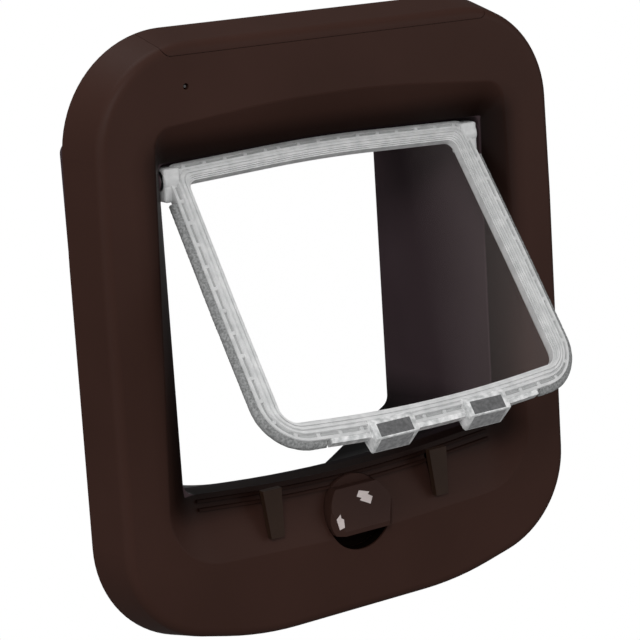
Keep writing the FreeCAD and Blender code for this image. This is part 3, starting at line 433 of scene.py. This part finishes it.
def paint_dish_shade(material):
    """Paints shade into the dish's colour next to the opening, where little light comes in, and a
    sheen on the collar.
    """
    tree = material.node_tree
    socket, colour = base_colour(tree)
    place = add(tree, "TexCoord").outputs["Object"]
    for operation, vector in (("SUBTRACT", OPENING_MIDDLE), ("ABSOLUTE", None),
                              ("SUBTRACT", OPENING_REACH), ("MAXIMUM", Vector((0, 0, 0)))):
        place = add(tree, "VectorMath", {0: place}, operation=operation)
        if vector is not None:
            place.inputs[1].default_value = vector
        place = place.outputs["Vector"]
    away = add(tree, "VectorMath", {0: place}, operation="LENGTH").outputs["Value"]
    share = add(tree, "MapRange", {"Value": away, "From Min": 0.0, "From Max": DISH_WIDTH * MM})
    ramp = add(tree, "ValToRGB", {"Fac": share.outputs["Result"]})
    # Painted sheen on the collar, lifting the frame's brown to the tunnel's colour
    ramp.color_ramp.elements[0].color = COLLAR_SHEEN_TINT
    ramp.color_ramp.elements[1].color = (1, 1, 1, 1)
    ramp.color_ramp.elements.new(COLLAR_SHEEN_SHARE).color = COLLAR_SHEEN_TINT
    for position, light in DISH_SHADES:
        green = light * (SHADE_GREEN + (1 - SHADE_GREEN) * light)
        blue = light * (SHADE_BLUE + (1 - SHADE_BLUE) * light)
        ramp.color_ramp.elements.new(position).color = (light, green, blue, 1)
    shaded = add(tree, "VectorMath", {0: colour, 1: ramp.outputs["Color"]}, operation="MULTIPLY")
    tree.links.new(shaded.outputs["Vector"], socket)


# Painted shade towards the tunnel's floor
paint_floor_shade(LINER)
# Painted shade in the dish round the opening, and painted sheen on the collar
paint_dish_shade(ABS)


def clear_pane():
    """Polycarbonate sheet, clear but for a faint painted sheen that grows towards its lower right."""
    material = bpy.data.materials.new("clear_polycarbonate_painted_sheen")
    material.use_nodes = True
    tree = material.node_tree
    shader = tree.nodes["Principled BSDF"]
    # The painted reflection's colour, shown where the alpha lets it through
    shader.inputs["Base Color"].default_value = linear("#b0a4a2")
    shader.inputs["Roughness"].default_value = 0.05
    shader.inputs["IOR"].default_value = 1.58
    place = add(tree, "TexCoord").outputs["Object"]
    along = add(tree, "VectorMath", {0: place, 1: SHEEN_WAY}, operation="DOT_PRODUCT")
    sheen = add(tree, "MapRange", {"Value": along.outputs["Value"], "From Min": SHEEN_START * MM,
                                   "From Max": SHEEN_FULL * MM, "To Min": SHEEN_LEAST,
                                   "To Max": SHEEN})
    tree.links.new(sheen.outputs["Result"], shader.inputs["Alpha"])
    return material


PANE = clear_pane()

NODE_FINISHES = {
    "fascia": ABS, "battery_cover": ABS, "rear_cover": ABS, "tunnel": LINER, "lock_dial": DIAL_ABS,
    "latch_finger_left": ACETAL, "latch_finger_right": ACETAL, "latch_carriage": ACETAL,
    "motor_pinion": ACETAL, "selector_cam": ACETAL, "flap_magnet_left": MAGNET,
    "flap_magnet_right": MAGNET, "cover_screws": STEEL, "dial_screw": STEEL, "latch_motor": STEEL,
    "contact_left": STEEL, "contact_right": STEEL, "antenna_coil": COPPER, "circuit_board": BOARD,
    "battery_tray": TRAY, "status_light": LENS, "battery_1": CELL, "battery_2": CELL,
    "battery_3": CELL, "battery_4": CELL, "seal_left": PILE, "seal_right": PILE, "flap": FROST,
}
for name, material in NODE_FINISHES.items():
    slots = frame["nodes"][name].data.materials
    slots.clear()
    slots.append(material)


# Flap

def rim_loop(inwards, depth):
    """The flap's outline moved in by a distance, at a depth."""
    points = outline_points(inset(mirrored(FLAP_CORNERS), inwards))
    return [Vector((point.x, depth, point.y)) for point in points]


def edge_pairs(beyond, inside):
    """Fine steps along the flap's edge: points beyond it and points inside it, by distances."""
    outer, inner = (outline_points(inset(mirrored(FLAP_CORNERS), by), FINE_ARC_STEPS,
                                   FINE_SIDE_STEPS) for by in (-beyond, inside))
    return list(zip(outer, inner))


def ring(bm, front_section):
    """A section that is the same to the front and back, led round the flap's outline."""
    section = front_section + [(inwards, -half) for inwards, half in reversed(front_section)]
    skin(bm, [rim_loop(inwards, depth) for inwards, depth in section], True)


def walked(points, pitch):
    """Places at even steps along a closed run of points, each with its direction."""
    places = []
    left = pitch / 2
    for i, start in enumerate(points):
        end = points[(i + 1) % len(points)]
        span = (end - start).length
        while left <= span and span > 0:
            places.append((start.lerp(end, left / span), (end - start).normalized()))
            left += pitch
        left -= span
    return places


def flap_rim():
    """Rim of the flap: its section led round the outline, with ribs across its channel."""
    bm = bmesh.new()
    ring(bm, RIM_SECTION)
    through = Vector((0, 1, 0))
    for point, along in walked(rim_loop(RIB_LINE, 0), RIB_PITCH):
        turn = Matrix((along, through, along.cross(through))).transposed()
        place = Matrix.Translation(point * MM) @ turn.to_4x4() @ Matrix.Diagonal((*RIB_SIZE, 1))
        rib = bmesh.ops.create_cube(bm, size=MM, matrix=place)
        round_edges(bm, edges_of(rib), RIB_BEVEL, 1)
    for side in (-1, 1):
        rod_x(bm, side * BOSS_START, side * BOSS_END, BOSS_RADIUS, bevel=BOSS_BEVEL)
        rod_x(bm, side * BOSS_START, side * PIN_END, PIN_RADIUS, PIN_SIDES)
    return bm


def channel_shade_skin():
    """Skin on the floor of the rim's channel, in a darker frost that paints the channel's shade."""
    bm = bmesh.new()
    ring(bm, CHANNEL_SECTION)
    return bm


def hinge_ears():
    """Tabs that hang upright from the bosses, beside the flap's stiles."""
    bm = bmesh.new()
    for side in (-1, 1):
        ends = sorted((side * (BOSS_START - EAR_OVERLAP), side * BOSS_END))
        bar(bm, (ends[0], -EAR_HALF, -EAR_DROP), (ends[1], EAR_HALF, BOSS_RADIUS), EAR_BEVEL)
    return bm


def latch_blocks():
    """The two faceted blocks on the lower edge, whose ends slant in towards the bottom."""
    bm = bmesh.new()
    for side in (-1, 1):
        loops = []
        for end in (-1, 1):
            loop = []
            for depth, height in BLOCK_SECTION:
                slant = BLOCK_SLANT if height < BLOCK_RIDGE else 0
                across = side * BLOCK_MIDDLE + end * (BLOCK_HALF - slant)
                loop.append(Vector((across, depth, height)))
            loops.append(loop)
        skin(bm, loops, False)
    sharp = [edge for edge in bm.edges
             if len(edge.link_faces) == 2 and edge.calc_face_angle() > SHARP_RADIANS]
    round_edges(bm, sharp, BLOCK_BEVEL, 2)
    return bm


def lower_lip():
    """Thin lip that stands down from the rim's lower edge between the pile strips."""
    loops = []
    for low, high in edge_pairs(LOWER_LIP_DROP, LOWER_LIP_ROOT):
        if abs(high.x) < LOWER_LIP_HALF and high.y < SEAL_TOP:
            loops.append([Vector((point.x, depth, point.y)) for point, depth in
                          ((low, -LOWER_LIP_EDGE_HALF), (high, -LOWER_LIP_ROOT_HALF),
                           (high, LOWER_LIP_ROOT_HALF), (low, LOWER_LIP_EDGE_HALF))])
    bm = bmesh.new()
    skin(bm, loops, False)
    return bm


def magnet_skins(low, high):
    """Thin skins on both blocks where the magnets show, between a low and a high edge."""
    bm = bmesh.new()
    for side in (-1, 1):
        loops = []
        for lift in (0.0, MAGNET_SKIN):
            loops.append([Vector((side * BLOCK_MIDDLE + end * MAGNET_HALF, depth - lift,
                                  height - lift))
                          for end, (depth, height) in ((-1, low), (1, low), (1, high), (-1, high))])
        skin(bm, loops, False)
    return bm


def flap_pane():
    """Flat pane that reaches a little into the rim."""
    bm = bmesh.new()
    skin(bm, [rim_loop(RIM_WIDTH - PANE_OVERLAP, depth) for depth in (-PANE_HALF, PANE_HALF)],
         False)
    return bm


def pile_strip(side):
    """Bristly strip on one edge of the flap, from below the hinge to under the lower edge."""
    loops = []
    for tip, root in edge_pairs(SEAL_WIDTH, SEAL_ROOT):
        if side * root.x <= SEAL_END or root.y >= SEAL_TOP:
            continue
        loop = []
        for share, half in PILE_SECTION:
            flat = root.lerp(tip, share)
            point = Vector((flat.x, half * (SEAL_BACK if half > 0 else SEAL_FRONT), flat.y))
            shake = Vector([noise.noise(point * pace + Vector(start)) for pace, start in PILE_NOISE])
            loop.append(point + shake * PILE_SHAKE * min(share * PILE_CALM_ROOT, 1))
        loops.append(loop)
    bm = bmesh.new()
    skin(bm, loops, False)
    return bm


rim = finish_piece(flap_rim(), "flap_rim", "flap", FROST, FLAP_FRAME, smooth=35)
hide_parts("flap")
finish_piece(latch_blocks(), "flap_blocks", "flap", CLEAR, FLAP_FRAME, smooth=20)
# Painted shade in the rim's channel
finish_piece(channel_shade_skin(), "flap_channel_shade", "flap", SHADED, FLAP_FRAME,
             smooth=35)
finish_piece(hinge_ears(), "flap_ears", "flap", FROST, Matrix.Translation(HINGE))
finish_piece(lower_lip(), "flap_lower_lip", "flap", CLEAR, FLAP_FRAME, smooth=20)
finish_piece(magnet_skins(*MAGNET_FRONT), "magnet_front_shade", "flap", MAGNET,
             FLAP_FRAME)
finish_piece(magnet_skins(*MAGNET_FOOT), "magnet_foot_shade", "flap", PALE_MAGNET,
             FLAP_FRAME)
finish_piece(flap_pane(), "flap_pane", "flap", PANE, FLAP_FRAME)
for side, name in ((-1, "seal_left"), (1, "seal_right")):
    strip = finish_piece(pile_strip(side), name + "_pile", "flap", PILE, FLAP_FRAME,
                         smooth=80)
    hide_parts(name)


# Lip under the tunnel's top edge, behind the flap's crown

def top_lip():
    """Flat strip that follows the top of the opening and closes the slit over the flap."""
    bm = bmesh.new()
    half = LIP_HALF
    top = [(x, LIP_TOP - LIP_ARCH * abs(x) / half) for x in (-half, -half / 2, 0, half / 2, half)]
    loop = [(half, LIP_BOTTOM), (-half, LIP_BOTTOM)] + top
    skin(bm, [[Vector((x, depth, z)) for x, z in loop] for depth in (LIP_FRONT, LIP_BACK)], False)
    return bm


finish_piece(top_lip(), "top_lip", "housing", LINER)


# Dial

def hollow_angles(reach):
    """Even steps of an angle from one side of straight down to the other."""
    return [reach * (2 * step / HOLLOW_STEPS - 1) for step in range(HOLLOW_STEPS + 1)]


def recess_shade():
    """Dark skin on the floor of the hollow under the grip: painted shade."""
    reach = math.pi / 2 - math.asin(FLOOR_TOP / FLOOR_RADIUS)
    arc = [(FLOOR_RADIUS * math.sin(a), -FLOOR_RADIUS * math.cos(a)) for a in hollow_angles(reach)]
    bm = bmesh.new()
    skin(bm, [[Vector((x, depth, z)) for x, z in arc]
              for depth in (FLOOR_FRONT, FLOOR_FRONT + FLOOR_THICKNESS)], False)
    return bm


def recess_wall():
    """Dark skin on the lower wall of the hollow, just inside the pocket that holds the dial: painted
    shade.
    """
    inner, outer = WALL_RADII
    section = ((inner, WALL_FRONT), (outer, WALL_FRONT), (outer, FLOOR_FRONT), (inner, FLOOR_FRONT))
    bm = bmesh.new()
    skin(bm, [[Vector((radius * math.sin(angle), depth, -radius * math.cos(angle)))
               for radius, depth in section] for angle in hollow_angles(math.radians(WALL_ANGLE))],
         False)
    return bm


def printed(name, shape, origin, across, up):
    """Thin printed piece on a plane of the dial: millimetres from its centre, points in the plane."""
    normal = across.cross(up)
    loops = []
    for height in (-INK_HALF, INK_HALF):
        loops.append([origin + across * u + up * v + normal * height for u, v in shape])
    bm = bmesh.new()
    skin(bm, loops, False)
    finish_piece(bm, name, "dial", PRINT, Matrix.Translation(DIAL_MIDDLE))


# Painted shade in the hollow under the dial's grip
finish_piece(recess_shade(), "dial_hollow_floor_shade", "dial", DARK,
             Matrix.Translation(DIAL_MIDDLE))
finish_piece(recess_wall(), "dial_hollow_wall_shade", "housing", DARK,
             Matrix.Translation(DIAL_MIDDLE))
printed("turn_arrow", DOUBLE_ARROW, Vector((0, GRIP_FRONT, -5.0)), Vector((1, 0, 0)), GRIP_SLANT)
printed("side_arrow", SIDE_ARROW, Vector((-11.5, GRIP_FRONT, 0)), GRIP_FLANK, Vector((0, 0, 1)))


# Camera, lights and surroundings

def photo_camera():
    """The photograph's view, from a fit of the frame's outline, the hinge line and the opening."""
    turn, tilt, roll = (math.radians(a) for a in (CAMERA_TURN, CAMERA_TILT, CAMERA_ROLL))
    level = Vector((math.sin(turn), math.cos(turn), 0))
    ahead = level * math.cos(tilt) - Vector((0, 0, math.sin(tilt)))
    right = Vector((math.cos(turn), -math.sin(turn), 0))
    down = ahead.cross(right)
    right, down = (right * math.cos(roll) + down * math.sin(roll),
                   down * math.cos(roll) - right * math.sin(roll))
    place = FIT_ORIGIN - (right * FIT_OFFSET.x + down * FIT_OFFSET.y + ahead * FIT_OFFSET.z)
    data = bpy.data.cameras.new("photo_camera")
    data.sensor_width = SENSOR_WIDTH
    data.lens = FOCAL_PIXELS / PICTURE_PIXELS * SENSOR_WIDTH
    camera = bpy.data.objects.new("photo_camera", data)
    axes = Matrix((right, -down, -ahead)).transposed().to_4x4()
    camera.matrix_world = Matrix.Translation(place * MM) @ axes
    bpy.context.scene.collection.objects.link(camera)
    bpy.context.scene.camera = camera


def softbox(name, place, width, height, watts):
    data = bpy.data.lights.new(name, "AREA")
    data.shape = "RECTANGLE"
    data.size = width
    data.size_y = height
    data.energy = watts
    light = bpy.data.objects.new(name, data)
    light.location = place
    light.rotation_euler = (-Vector(place)).to_track_quat("-Z", "Y").to_euler()
    bpy.context.scene.collection.objects.link(light)


def studio_world():
    """White paper behind the part as the camera sees it, and a dim grey room all round."""
    world = bpy.data.worlds.new("studio")
    world.use_nodes = True
    tree = world.node_tree
    direction = add(tree, "TexCoord").outputs["Generated"]
    along = add(tree, "VectorMath", {0: direction, 1: PAPER_WAY}, operation="DOT_PRODUCT")
    along = along.outputs["Value"]
    room = add(tree, "MapRange", {"Value": along, "From Min": -ROOM_BLEND,
                                  "From Max": ROOM_BLEND, "To Min": ROOM_FRONT,
                                  "To Max": ROOM_BACK})
    paper = add(tree, "MapRange", {"Value": along, "From Min": PAPER_EDGE,
                                   "From Max": PAPER_FULL, "To Min": 0.0, "To Max": 1.0})
    shade = add(tree, "Math", {0: room.outputs["Result"], 1: paper.outputs["Result"]},
                operation="MAXIMUM")
    backdrop = tree.nodes["Background"]
    tree.links.new(shade.outputs["Value"], backdrop.inputs["Color"])
    backdrop.inputs["Strength"].default_value = 1.0
    bpy.context.scene.world = world


photo_camera()
studio_world()
for name, (place, width, height, watts) in SOFTBOXES.items():
    softbox(name, place, width, height, watts)
bpy.context.scene.view_settings.view_transform = "Standard"
